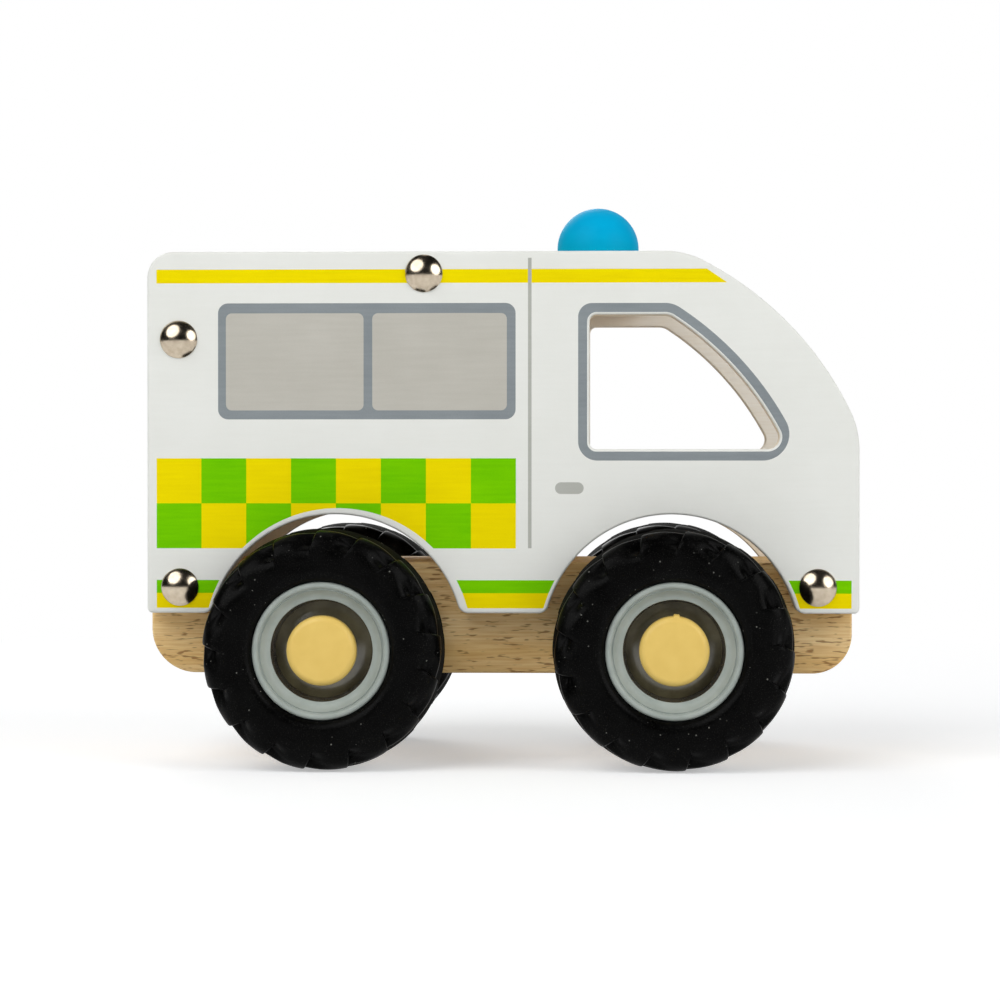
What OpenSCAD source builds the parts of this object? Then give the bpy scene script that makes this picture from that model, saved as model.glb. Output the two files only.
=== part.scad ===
// Toy ambulance: two printed plywood sides nailed to a wooden chassis, roof and back,
// on four lugged rubber wheels that turn on steel axles.
// +X is the front, +Y the left side, +Z up. The origin is on the ground under the middle.

/* [Body] */
// Length of a side panel
body_l = 134.6; // [126:0.2:150]
// Height of a side panel
panel_h = 68.4; // [64:0.2:76]
// Thickness of a side panel
panel_t = 6; // [4:0.5:8]
// Space between the two side panels
inner_w = 40; // [34:1:50]
// Height of the panels' lower edge above the chassis underside
panel_lift = 11.7; // [10:0.1:13]
// Radius of the panels' upper rear corner
rear_corner_r = 5; // [3:0.5:7]
// Radius of the panels' two lower corners
low_corner_r = 1; // [0.6:0.2:3]

/* [Front curve] */
// Radius where the roof turns down
roof_bend_r = 16; // [12:0.5:22]
// Radius of the sloping windscreen line
screen_r = 63; // [56:1:80]
// Radius of the nose
nose_r = 17.5; // [14:0.5:28]
// Angle where the roof bend meets the windscreen line
screen_top_a = 62.5; // [56:0.5:66]
// Angle where the windscreen line meets the nose
screen_foot_a = 26; // [22:0.5:36]

/* [Cab window] */
// Distance from the panel's front edge back to the window's rear edge
window_back = 50.8; // [46:0.2:56]
// Distance from the panel's top edge down to the window
window_drop = 12; // [9:0.5:14]
// Height of the window
window_h = 25.4; // [20:0.2:29]
// Width of the panel between the window and the foot of the windscreen line
window_pillar = 13.8; // [11:0.2:16]
// Radius of the window's curved front edge
window_r = 59.5; // [54:0.5:70]
// Radius of the window's two rear corners
window_rear_r = 1.3; // [0.8:0.1:3]
// Radius of the window's upper front corner
window_top_r = 3; // [2:0.5:4]
// Radius of the window's lower front corner
window_foot_r = 2.3; // [1.5:0.1:5]

/* [Wheel arches] */
// Gap between the tyre and the wheel arch
arch_gap = 1.7; // [1.6:0.1:3]
// Height of the arch's centre above the axle
arch_lift = 0.9; // [0:0.1:3]
// How far each arch's centre lies inside its axle
arch_in = 0.9; // [0:0.1:1.2]
// How far both arches sit forward of the panel's middle
arch_forward = 0.2; // [0:0.1:0.4]
// Radius where the arch runs out into the panel's lower edge
arch_lip_r = 2; // [1.5:0.5:4]

/* [Chassis] */
// Height of the chassis block
chassis_h = 21.2; // [19:0.2:26]
// How far the chassis stops short of the panels at the front
chassis_short = 0.9; // [0:0.1:3]
// Height of the axles above the chassis underside
axle_up = 5.3; // [4:0.1:7]
// Radius of the chassis's lower rear corner
chassis_rear_r = 8.5; // [3:0.5:10]
// Radius of the chassis's lower front corner
chassis_front_r = 7.5; // [3:0.5:10]

/* [Roof and back] */
// Thickness of the roof board
roof_t = 8.4; // [7:0.2:10]
// Thickness of the back board
back_t = 8; // [6:0.5:10]
// How far both boards sit in from the panels' rear edge
board_inset = 2; // [1:0.1:3]
// How far the roof board stops behind the roof bend
roof_short = 1.6; // [0.5:0.1:4]
// Radius of the roof board's upper rear edge
roof_edge_r = 4.5; // [3:0.5:6]

/* [Beacon] */
// Diameter of the domed beacon
beacon_d = 16; // [12:0.5:20]
// Height of the beacon's straight skirt
beacon_skirt = 2.2; // [0.5:0.1:4]
// Distance from the roof board's front end back to the beacon
beacon_back = 10.9; // [10.5:0.1:20]
// Diameter of the beacon's peg
beacon_peg_d = 6; // [4:0.5:8]
// Length of the beacon's peg
beacon_peg_l = 6; // [4:0.2:6.4]
// Room under the peg in its hole
beacon_peg_room = 0.4; // [0.2:0.1:0.5]

/* [Nails] */
// Diameter of a nail head
nail_head_d = 7.1; // [5:0.1:8]
// Height of a nail's domed head
nail_head_h = 1.7; // [1.2:0.1:3.4]
// Diameter of a nail shank
nail_d = 2.2; // [1.6:0.1:3]
// Length of a nail under its head
nail_l = 19; // [15:0.5:20]
// Length of a nail's point
nail_point_l = 2.5; // [1.5:0.1:4]
// Depth of the two lower nails below the chassis top
nail_chassis_drop = 4.6; // [4:0.1:6]
// Distance from the panel's rear edge to the lower rear nail
nail_low_rear = 6.2; // [5:0.1:8]
// Distance from the panel's front edge to the lower front nail
nail_low_front = 7.8; // [6:0.1:9]
// Distance from the panel's rear edge to the roof nail
nail_roof_x = 52.5; // [40:0.5:70]
// Depth of the back board's nail below the panel's top edge
nail_back_drop = 16.6; // [14:0.2:30]

/* [Wheels] */
// Distance between the axles
wheelbase = 65.3; // [62:0.1:69]
// Diameter of a tyre over its lugs
tyre_d = 45; // [42:0.5:47]
// Width of a tyre
tyre_w = 18; // [16:0.5:22]
// Gap between a tyre and the chassis side
tyre_gap = 2.8; // [0.6:0.1:5]
// Diameter of a rim over its flanges
rim_d = 25.6; // [25:0.2:28]
// Depth of the tyre seat below the rim flanges
seat_depth = 1.4; // [1:0.1:1.8]
// Width of a rim flange
flange_w = 1.8; // [1.4:0.1:2.4]
// How far the rim stops inside the tyre's sides
rim_inset = 1; // [0.5:0.1:1.5]
// Width of the rim's rounded outer lip
lip_w = 1.2; // [0.8:0.1:1.4]
// Diameter of the rim's sunk centre
dish_d = 19; // [17:0.2:19.6]
// Depth of the sloping band between lip and sunk centre
band_depth = 1.4; // [0.8:0.1:2]
// Thickness of the rim's web
web_t = 2.2; // [1.6:0.1:3]
// Diameter of the rim's hub
hub_d = 9.2; // [8:0.1:11]
// How far the hub stands out of the web
hub_rise = 0.7; // [0.4:0.1:1.2]

/* [Tread] */
// Lugs around the tyre
lug_count = 17; // [14:1:22]
// Depth of the tread behind each lug
lug_depth = 1.2; // [0.8:0.1:1.6]
// Share of the pitch that a lug leaves at full height, in percent
lug_top = 40; // [25:1:60]
// Slant of the lugs across the tread
lug_slant = 24; // [10:1:30]
// Fall of the tread floor towards the shoulders
lug_fall = 14; // [8:1:20]
// Radius of the tyre's shoulders
shoulder_r = 5; // [3:0.5:6]
// Radius of the tyre's crown across its width
crown_r = 40; // [30:1:60]
// Radius of the sidewall's edge at the rim
bead_r = 2; // [1:0.2:3]

/* [Axles and caps] */
// Diameter of an axle
axle_d = 4; // [3:0.1:5]
// Chamfer on an axle's ends
axle_chamfer = 0.4; // [0.2:0.1:0.8]
// Radial play of the axles in the chassis and of the wheels on the axles
axle_play = 0.05; // [0.02:0.01:0.1]
// Side play of a wheel between the chassis and its cap
side_play = 0.35; // [0.3:0.05:0.6]
// Diameter of an axle cap
cap_d = 13; // [11:0.2:15]
// Thickness of an axle cap's disc
cap_t = 3.2; // [2.4:0.1:4]
// Radius of an axle cap's outer edge
cap_edge_r = 1.3; // [0.6:0.1:2]
// Diameter of an axle cap's sleeve
cap_sleeve_d = 8; // [7:0.1:9]
// Length of an axle cap's sleeve
cap_sleeve_l = 1.4; // [1:0.1:2.5]
// How far an axle cap's face sits behind the rim's lip
cap_sunk = 0.4; // [0:0.1:2]
// Thickness of the cap over the axle's end
cap_face_t = 1.2; // [0.8:0.1:1.6]

/* [Hidden] */
$fn = 96;
// Straight steps in each drawn arc
arc_steps = 20;
// How far a cutting shape reaches past the face that it cuts
over = 1;

// Heights, built up from the ground
axle_z = tyre_d / 2;
chassis_z = axle_z - axle_up;
chassis_top = chassis_z + chassis_h;
panel_z = chassis_z + panel_lift;
panel_top = panel_z + panel_h;
roof_z = panel_top - roof_t;

// Lengths, from the panels' two ends
rear_x = -body_l / 2;
front_x = body_l / 2;
chassis_front = front_x - chassis_short;
chassis_mid = (rear_x + chassis_front) / 2;
board_x = rear_x + board_inset;
inner_y = inner_w / 2;
panel_y = inner_y + panel_t;

// Front curve: roof bend, windscreen line and nose, each tangent to the next
roof_c = [
    front_x - nose_r - (roof_bend_r - screen_r) * cos(screen_top_a)
        - (screen_r - nose_r) * cos(screen_foot_a),
    panel_top - roof_bend_r
];
screen_c = roof_c + (roof_bend_r - screen_r) * heading(screen_top_a);
nose_c = screen_c + (screen_r - nose_r) * heading(screen_foot_a);
roof_front = roof_c[0] - roof_short;
beacon_x = roof_front - beacon_back;

// Cab window
window_rear = front_x - window_back;
window_top = panel_top - window_drop;
window_foot = window_top - window_h;
window_c = screen_c + (screen_r - window_pillar - window_r) * heading(screen_foot_a);

// Wheel arches
arch_r = tyre_d / 2 + arch_gap;
arch_z = axle_z + arch_lift;
arch_x = wheelbase / 2 - arch_in;

// Wheels, measured outwards from the middle of the car
tyre_in = inner_y + tyre_gap;
tyre_mid = tyre_in + tyre_w / 2;
tyre_out = tyre_in + tyre_w;
rim_in = tyre_in + rim_inset;
rim_out = tyre_out - rim_inset;
rim_r = rim_d / 2;
seat_r = rim_r - seat_depth;
lip_r = lip_w / 2;
dish_r = dish_d / 2;
bore_r = axle_d / 2 + axle_play;
cap_face = rim_out - cap_sunk;
cap_back = cap_face - cap_t;
cap_in = cap_back - cap_sleeve_l;
axle_end = cap_face - cap_face_t;
hub_in = inner_y + side_play;
hub_out = cap_in - side_play;
web_out = hub_out - hub_rise;
lug_pitch = 360 / lug_count;

// Nail centres on a side panel, as [x, z]
nails = [
    [rear_x + nail_low_rear, chassis_top - nail_chassis_drop],
    [front_x - nail_low_front, chassis_top - nail_chassis_drop],
    [board_x + back_t / 2, panel_top - nail_back_drop],
    [rear_x + nail_roof_x, panel_top - roof_t / 2]
];

// Unit step along an angle
function heading(a) = [cos(a), sin(a)];

// Points of an arc from angle a to angle b
function arc(c, r, a, b) = [for (i = [0:arc_steps]) c + r * heading(a + (b - a) * i / arc_steps)];

// The same arc without its last point, where the next arc starts there
function arc_on(c, r, a, b) = [for (i = [0:arc_steps - 1]) c + r * heading(a + (b - a) * i / arc_steps)];

// Lower edge of a panel over one wheel: lip, arch, lip
function wheel_arch(x) =
    let (lip_z = panel_z + arch_lip_r)
    let (reach = sqrt(pow(arch_r + arch_lip_r, 2) - pow(lip_z - arch_z, 2)))
    let (turn = atan2(lip_z - arch_z, reach))
    concat(
        arc_on([x - reach, lip_z], arch_lip_r, 270, 360 - turn),
        arc_on([x, arch_z], arch_r, 180 - turn, turn),
        arc([x + reach, lip_z], arch_lip_r, 180 + turn, 270)
    );

// Centre of a fillet of radius r at height z inside the window's curved front edge
function window_fillet(r, z) = [window_c[0] + sqrt(pow(window_r - r, 2) - pow(z - window_c[1], 2)), z];

// Angle of a point as seen from the centre of the window's front edge
function window_angle(p) = atan2(p[1] - window_c[1], p[0] - window_c[0]);

panel_outline = concat(
    arc([rear_x + low_corner_r, panel_z + low_corner_r], low_corner_r, 180, 270),
    wheel_arch(arch_forward - arch_x),
    wheel_arch(arch_forward + arch_x),
    arc([front_x - low_corner_r, panel_z + low_corner_r], low_corner_r, 270, 360),
    arc_on(nose_c, nose_r, 0, screen_foot_a),
    arc_on(screen_c, screen_r, screen_foot_a, screen_top_a),
    arc(roof_c, roof_bend_r, screen_top_a, 90),
    arc([rear_x + rear_corner_r, panel_top - rear_corner_r], rear_corner_r, 90, 180)
);

window_foot_c = window_fillet(window_foot_r, window_foot + window_foot_r);
window_top_c = window_fillet(window_top_r, window_top - window_top_r);
window_outline = concat(
    arc([window_rear + window_rear_r, window_foot + window_rear_r], window_rear_r, 180, 270),
    arc_on(window_foot_c, window_foot_r, -90, window_angle(window_foot_c)),
    arc_on(window_c, window_r, window_angle(window_foot_c), window_angle(window_top_c)),
    arc(window_top_c, window_top_r, window_angle(window_top_c), 90),
    arc([window_rear + window_rear_r, window_top - window_rear_r], window_rear_r, 90, 180)
);

chassis_outline = concat(
    arc([rear_x + chassis_rear_r, chassis_z + chassis_rear_r], chassis_rear_r, 180, 270),
    arc([chassis_front - chassis_front_r, chassis_z + chassis_front_r], chassis_front_r, 270, 360),
    [[chassis_front, chassis_top], [rear_x, chassis_top]]
);

roof_outline = concat(
    [[board_x, roof_z], [roof_front, roof_z], [roof_front, panel_top]],
    arc([board_x + roof_edge_r, panel_top - roof_edge_r], roof_edge_r, 90, 180)
);

// Stands a drawing of the car's side up on the ground, from one y to another
module stand(y_from, y_to) {
    translate([0, y_to, 0])
        rotate([90, 0, 0])
            linear_extrude(y_to - y_from)
                children();
}

// Turns a shape made for the right side into its twin on the left
module on_side(left) {
    mirror([0, left ? 1 : 0, 0])
        children();
}

// Lays a shape turned about Z along an axle, pointing out of the right side
module on_axle(front) {
    translate([chassis_mid + (front ? 1 : -1) * wheelbase / 2, 0, axle_z])
        rotate([90, 0, 0])
            children();
}

// Shapes at the nail centres of the right side panel's face, pointing outwards
module at_nails() {
    for (p = nails)
        translate([p[0], -panel_y, p[1]])
            rotate([90, 0, 0])
                children();
}

module nail() {
    dome_r = (pow(nail_head_d / 2, 2) + pow(nail_head_h, 2)) / (2 * nail_head_h);
    rotate_extrude() {
        intersection() {
            translate([0, nail_head_h - dome_r])
                circle(dome_r);
            square([nail_head_d / 2, nail_head_h]);
        }
        polygon([[0, 0], [nail_d / 2, 0], [nail_d / 2, nail_point_l - nail_l], [0, -nail_l]]);
    }
}

// The nails' holes, which take the nails' own shape
module nail_holes() {
    for (left = [false, true])
        on_side(left)
            at_nails()
                nail();
}

module chassis() {
    color("burlywood")
        difference() {
            stand(-inner_y, inner_y)
                polygon(chassis_outline);
            for (front = [false, true])
                on_axle(front)
                    cylinder(r = bore_r, h = inner_w + 2 * over, center = true);
            nail_holes();
        }
}

module side_panel(left) {
    color("whitesmoke")
        on_side(left)
            difference() {
                stand(-panel_y, -inner_y)
                    difference() {
                        polygon(panel_outline);
                        polygon(window_outline);
                    }
                at_nails()
                    nail();
            }
}

module roof_board() {
    color("burlywood")
        difference() {
            stand(-inner_y, inner_y)
                polygon(roof_outline);
            nail_holes();
            translate([beacon_x, 0, panel_top - beacon_peg_l - beacon_peg_room])
                cylinder(d = beacon_peg_d, h = beacon_peg_l + beacon_peg_room + over);
        }
}

module back_board() {
    color("burlywood")
        difference() {
            translate([board_x, -inner_y, chassis_top])
                cube([back_t, inner_w, roof_z - chassis_top]);
            nail_holes();
        }
}

module beacon() {
    color("deepskyblue")
        translate([beacon_x, 0, panel_top])
            rotate_extrude() {
                translate([0, beacon_skirt])
                    intersection() {
                        circle(d = beacon_d);
                        square(beacon_d / 2);
                    }
                square([beacon_d / 2, beacon_skirt]);
                translate([0, -beacon_peg_l])
                    square([beacon_peg_d / 2, beacon_peg_l]);
            }
}

module panel_nails(left) {
    color("silver")
        on_side(left)
            at_nails()
                nail();
}

module axle(front) {
    axle_r = axle_d / 2;
    color("gray")
        on_axle(front)
            rotate_extrude()
                polygon([
                    [0, -axle_end],
                    [axle_r - axle_chamfer, -axle_end],
                    [axle_r, axle_chamfer - axle_end],
                    [axle_r, axle_end - axle_chamfer],
                    [axle_r - axle_chamfer, axle_end],
                    [0, axle_end]
                ]);
}

// Section of a tyre: crowned, with round shoulders and a bead between the rim flanges
module tyre_section() {
    intersection() {
        translate([rim_r, tyre_in])
            rounded_strip(tyre_d / 2 - rim_r, tyre_w, bead_r, shoulder_r);
        translate([tyre_d / 2 - crown_r, tyre_mid])
            circle(crown_r);
    }
    translate([seat_r, rim_in + flange_w])
        square([seat_depth + bead_r, rim_out - rim_in - 2 * flange_w]);
}

// A strip w by h whose near corners are rounded by one radius and far corners by another
module rounded_strip(w, h, near_r, far_r) {
    for (y = [near_r, h - near_r])
        translate([near_r, y])
            circle(near_r);
    for (y = [far_r, h - far_r])
        translate([w - far_r, y])
            circle(far_r);
    translate([0, near_r])
        square([near_r, h - 2 * near_r]);
    translate([near_r, 0])
        square([w - near_r - far_r, h]);
    translate([w - far_r, far_r])
        square([far_r, h - 2 * far_r]);
}

// Wedge cut behind one lug on the outer half of the tread, at the top of the wheel
module lug_gap() {
    pitch_l = PI * tyre_d / lug_count;
    ramp_l = pitch_l * (1 - lug_top / 100);
    clear_h = over + tyre_w * tan(lug_fall);
    translate([0, tyre_d / 2, 0])
        rotate([lug_fall, lug_slant, 0])
            translate([0, 0, -over])
                linear_extrude(tyre_w)
                    polygon([
                        [-ramp_l / 2, clear_h],
                        [-ramp_l / 2, 0],
                        [ramp_l / 2, -lug_depth],
                        [ramp_l / 2, clear_h]
                    ]);
}

module tyre(front, left) {
    color("dimgray")
        on_side(left)
            on_axle(front)
                difference() {
                    rotate_extrude()
                        tyre_section();
                    // The gaps straddle the lowest point, so that the wheel stands on a lug
                    translate([0, 0, tyre_mid])
                        for (i = [0:lug_count - 1], half = [0, 1])
                            rotate([0, 0, 180 + (i + 0.5) * lug_pitch])
                                mirror([0, 0, half])
                                    lug_gap();
                }
}

// Section of a rim: hub, web, tyre seat between two flanges, rounded lip and sloping band
module rim_section() {
    hub_r = hub_d / 2;
    lip_z = rim_out - lip_r;
    polygon(concat(
        [
            [bore_r, hub_in], [hub_r, hub_in], [hub_r, web_out - web_t], [dish_r, web_out - web_t],
            [dish_r, rim_in], [rim_r, rim_in], [rim_r, rim_in + flange_w], [seat_r, rim_in + flange_w],
            [seat_r, rim_out - flange_w], [rim_r, rim_out - flange_w]
        ],
        arc([rim_r - lip_r, lip_z], lip_r, 0, 180),
        [
            [dish_r, lip_z - band_depth], [dish_r, web_out], [hub_r, web_out], [hub_r, hub_out],
            [bore_r, hub_out]
        ]
    ));
}

module rim(front, left) {
    color("darkgray")
        on_side(left)
            on_axle(front)
                rotate_extrude()
                    rim_section();
}

module axle_cap(front, left) {
    cap_r = cap_d / 2;
    color("khaki")
        on_side(left)
            on_axle(front)
                rotate_extrude()
                    polygon(concat(
                        [
                            [axle_d / 2, cap_in], [cap_sleeve_d / 2, cap_in],
                            [cap_sleeve_d / 2, cap_back], [cap_r, cap_back]
                        ],
                        arc([cap_r - cap_edge_r, cap_face - cap_edge_r], cap_edge_r, 0, 90),
                        [[0, cap_face], [0, axle_end], [axle_d / 2, axle_end]]
                    ));
}

chassis();
side_panel(left = false);  // side_panel_right
side_panel(left = true);  // side_panel_left
roof_board();
back_board();
beacon();
panel_nails(left = false);  // panel_nails_right
panel_nails(left = true);  // panel_nails_left
axle(front = true);  // front_axle
axle(front = false);  // rear_axle
tyre(front = true, left = false);  // tyre_front_right
tyre(front = true, left = true);  // tyre_front_left
tyre(front = false, left = false);  // tyre_rear_right
tyre(front = false, left = true);  // tyre_rear_left
rim(front = true, left = false);  // rim_front_right
rim(front = true, left = true);  // rim_front_left
rim(front = false, left = false);  // rim_rear_right
rim(front = false, left = true);  // rim_rear_left
axle_cap(front = true, left = false);  // axle_cap_front_right
axle_cap(front = true, left = true);  // axle_cap_front_left
axle_cap(front = false, left = false);  // axle_cap_rear_right
axle_cap(front = false, left = true);  // axle_cap_rear_left
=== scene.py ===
import bmesh
import bpy
import numpy as np
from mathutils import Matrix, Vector
from mathutils.geometry import delaunay_2d_cdt


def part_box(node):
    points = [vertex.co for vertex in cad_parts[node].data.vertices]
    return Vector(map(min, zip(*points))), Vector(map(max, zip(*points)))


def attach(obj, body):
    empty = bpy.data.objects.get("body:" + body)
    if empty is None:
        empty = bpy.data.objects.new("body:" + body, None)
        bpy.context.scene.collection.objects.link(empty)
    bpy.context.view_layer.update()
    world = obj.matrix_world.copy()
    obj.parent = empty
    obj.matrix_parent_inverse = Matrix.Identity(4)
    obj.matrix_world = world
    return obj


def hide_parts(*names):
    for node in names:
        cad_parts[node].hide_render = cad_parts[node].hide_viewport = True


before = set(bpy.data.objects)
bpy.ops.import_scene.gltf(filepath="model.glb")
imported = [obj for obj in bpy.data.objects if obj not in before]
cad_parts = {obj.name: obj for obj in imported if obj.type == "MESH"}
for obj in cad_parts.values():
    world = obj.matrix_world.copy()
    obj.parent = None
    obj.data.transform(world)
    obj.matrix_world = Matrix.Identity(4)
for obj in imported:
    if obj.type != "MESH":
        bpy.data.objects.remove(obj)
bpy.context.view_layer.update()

# A toy ambulance: printed plywood sides, a beech chassis, a painted beacon and lugged tyres.
# Sizes are in millimetres on the frame's axes: +X is the front, +Y the left side, +Z up.
# make() turns them into metres. Angles are in degrees.
MM = 0.001

# Corners of a piece that lie closer than this are one corner
WELD = 0.001
# Edges that bend by more than this stay sharp
SHARP_ANGLE = 38
# Straight steps in an arc, in a small corner, in the quarter round along a plate's edge and once round an axis
ARC_STEPS = 24
CORNER_STEPS = 8
ROUND_STEPS = 6
TURN_STEPS = 128
# What the triangulation keeps, the triangles inside the outlines, and how close corners become one for it
INSIDE = 1
CLOSE = 1e-5
# Which way each side of the car faces along Y
SIDES = {"right": -1, "left": 1}


def box(node):
    """Lowest and highest corner of a CAD node."""
    return tuple(np.array(corner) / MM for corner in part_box(node))


# Sizes that the frame gives. The left panel stands at +Y, so its lower y is its inner face.
(REAR_X, PANEL_IN, PANEL_Z), (FRONT_X, PANEL_OUT, PANEL_TOP) = box("side_panel_left")
CHASSIS_LOW, CHASSIS_HIGH = box("chassis")
ROOF_LOW, ROOF_HIGH = box("roof_board")
BACK_LOW, BACK_HIGH = box("back_board")
BEACON_LOW, BEACON_HIGH = box("beacon")
CAP_LOW, CAP_HIGH = box("axle_cap_front_left")
RIM_LOW, RIM_HIGH = box("rim_front_left")
TYRE_LOW, TYRE_HIGH = box("tyre_front_left")

# Side panel outline, as in the CAD source: rounded corners, roof bend, windscreen line and nose
REAR_CORNER_R = 5
LOW_CORNER_R = 1
ROOF_BEND_R = 16
SCREEN_R = 63
NOSE_R = 17.5
SCREEN_TOP_A = 62.5
SCREEN_FOOT_A = 26
# Cab window: its place behind the front and below the roof, its height, front pillar and radii
WINDOW_BACK = 50.8
WINDOW_DROP = 12
WINDOW_H = 25.4
WINDOW_PILLAR = 13.8
WINDOW_R = 59.5
WINDOW_CORNERS = {"low_rear": 1.3, "foot": 2.3, "top": 3, "high_rear": 1.3}
# Wheel arches
ARCH_R = 24.2
ARCHES_X = (-31.55, 31.95)
ARCH_Z = 23.4
ARCH_LIP_R = 2
# Rounding of the panels' printed edge and of their bare inner edge
PANEL_EDGE = 0.45
PANEL_BACK_EDGE = 0.2

# Rounded ends of the chassis and the roof board, the easing of all wooden edges, and the axle bores
CHASSIS_REAR_R = 8.5
CHASSIS_FRONT_R = 7.5
ROOF_EDGE_R = 4.5
WOOD_EDGE = 0.5
BORE_R = 2.05


def heading(angle):
    """Unit step along an angle."""
    return np.array([np.cos(np.radians(angle)), np.sin(np.radians(angle))])


def arc(centre, radius, start, end, steps=ARC_STEPS):
    """Points at one radius from a centre, for even angles from start to end."""
    angles = np.radians(np.linspace(start, end, steps + 1))
    return np.asarray(centre) + radius * np.column_stack([np.cos(angles), np.sin(angles)])


def path(*stretches):
    """Stretches of points as one closed loop, without points that repeat the one before."""
    loop = np.vstack(stretches).astype(float)
    step = np.linalg.norm(loop - np.roll(loop, 1, axis=0), axis=1)
    return loop[step > WELD]


def rectangle(x_from, x_to, z_from, z_to, radius=0):
    """A rectangle, with its corners rounded where a radius is given."""
    if not radius:
        return np.array([[x_from, z_from], [x_to, z_from], [x_to, z_to], [x_from, z_to]], float)
    corners = ((x_to, z_from, 270), (x_to, z_to, 0), (x_from, z_to, 90), (x_from, z_from, 180))
    middle = np.array([(x_from + x_to) / 2, (z_from + z_to) / 2])
    return path(*(
        arc(np.array([x, z]) + radius * np.sign(middle - [x, z]), radius, turn, turn + 90, CORNER_STEPS)
        for x, z, turn in corners
    ))


def inward(loop):
    """For each corner of a closed loop, the step to its left that moves both of its edges by one."""
    ahead = np.roll(loop, -1, axis=0) - loop
    ahead /= np.linalg.norm(ahead, axis=1, keepdims=True)
    left = np.column_stack([-ahead[:, 1], ahead[:, 0]])
    before = np.roll(left, 1, axis=0)
    return (left + before) / (1 + np.sum(left * before, axis=1, keepdims=True))


def sheet(points, wrap_u=False, wrap_v=False, finish=0):
    """Faces over a grid of points: one per cell, and a wrapped side joins its last row to its first."""
    rows, columns = points.shape[:2]
    u, v = np.meshgrid(np.arange(rows - (not wrap_u)), np.arange(columns - (not wrap_v)), indexing="ij")
    u_next = (u + 1) % rows
    v_next = (v + 1) % columns
    round_cell = ((u, v), (u_next, v), (u_next, v_next), (u, v_next))
    corners = np.stack([row * columns + column for row, column in round_cell], -1)
    return {
        "points": points.reshape(-1, 3),
        "faces": corners.reshape(-1, 4),
        "finish": np.broadcast_to(finish, u.shape).ravel(),
        "smooth": True,
    }


def flat(loops, y, inks=(), finish=0):
    """The plane at one y between an outline and its holes, cut into triangles along every ink edge.
    The last ink that covers a triangle gives its finish."""
    outlines = [*loops, *(loop for loop, _ in inks)]
    ends = np.cumsum([len(loop) for loop in outlines])
    rings = [list(range(end - len(loop), end)) for loop, end in zip(outlines, ends)]
    corners = [Vector(point) for point in np.vstack(outlines).tolist()]
    points, _, triangles, _, _, owners = delaunay_2d_cdt(corners, [], rings, INSIDE, CLOSE)
    holes = set(range(1, len(loops)))
    kept = [i for i, owner in enumerate(owners) if 0 in owner and not holes & set(owner)]
    colours = [finish, *(colour for _, colour in inks)]
    plan = np.array([tuple(point) for point in points])
    return {
        "points": np.column_stack([plan[:, 0], np.full(len(plan), y), plan[:, 1]]),
        "faces": np.array([triangles[i] for i in kept]),
        "finish": np.array([colours[max(max(owners[i]) - len(loops) + 1, 0)] for i in kept]),
        "smooth": False,
    }


def wall(loop, near, far, near_r, far_r, finishes=(0, 0, 0)):
    """The edge of a plate: quarter round, straight, quarter round, carried along a closed loop.
    The finishes are those of the near round, the straight and the far round."""
    turn = np.radians(np.linspace(0, 90, ROUND_STEPS + 1))
    side = np.sign(far - near)
    inset = np.concatenate([near_r * (1 - np.sin(turn)), far_r * (1 - np.sin(turn[::-1]))])
    y = np.concatenate([
        near + side * near_r * (1 - np.cos(turn)),
        far - side * far_r * (1 - np.cos(turn[::-1])),
    ])
    plan = loop + inset[:, None, None] * inward(loop)
    rows = np.repeat(finishes, [ROUND_STEPS, 1, ROUND_STEPS])
    points = np.stack([plan[..., 0], np.broadcast_to(y[:, None], plan.shape[:2]), plan[..., 1]], -1)
    return sheet(points, wrap_v=True, finish=rows[:, None])


def plate(outline, holes, near, far, near_r, far_r, finishes=(0, 0, 0), inks=()):
    """A flat board that stands along X: a wall round its outline and each hole, and its two faces."""
    loops = [outline, *(hole[::-1] for hole in holes)]
    skins = [wall(loop, near, far, near_r, far_r, finishes) for loop in loops]
    for y, edge, finish, printed in ((near, near_r, finishes[0], inks), (far, far_r, finishes[2], ())):
        faces = [loop + edge * inward(loop) for loop in loops]
        skins.append(flat([faces[0], *(face[::-1] for face in faces[1:])], y, printed, finish))
    return skins


def spin(section, turns=TURN_STEPS):
    """A section of (radius, height) points swept once round the Z axis."""
    angle = np.linspace(0, 2 * np.pi, turns, endpoint=False)
    radius, height = section.T
    return np.stack([
        np.outer(np.cos(angle), radius),
        np.outer(np.sin(angle), radius),
        np.broadcast_to(height, (turns, len(height))),
    ], -1)


def out_of_side(points, x, z, side):
    """Points made about the Z axis, laid so that Z points out of one side of the car at (x, z)."""
    return np.stack([x + points[..., 0], side * points[..., 2], z + points[..., 1]], -1)


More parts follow.
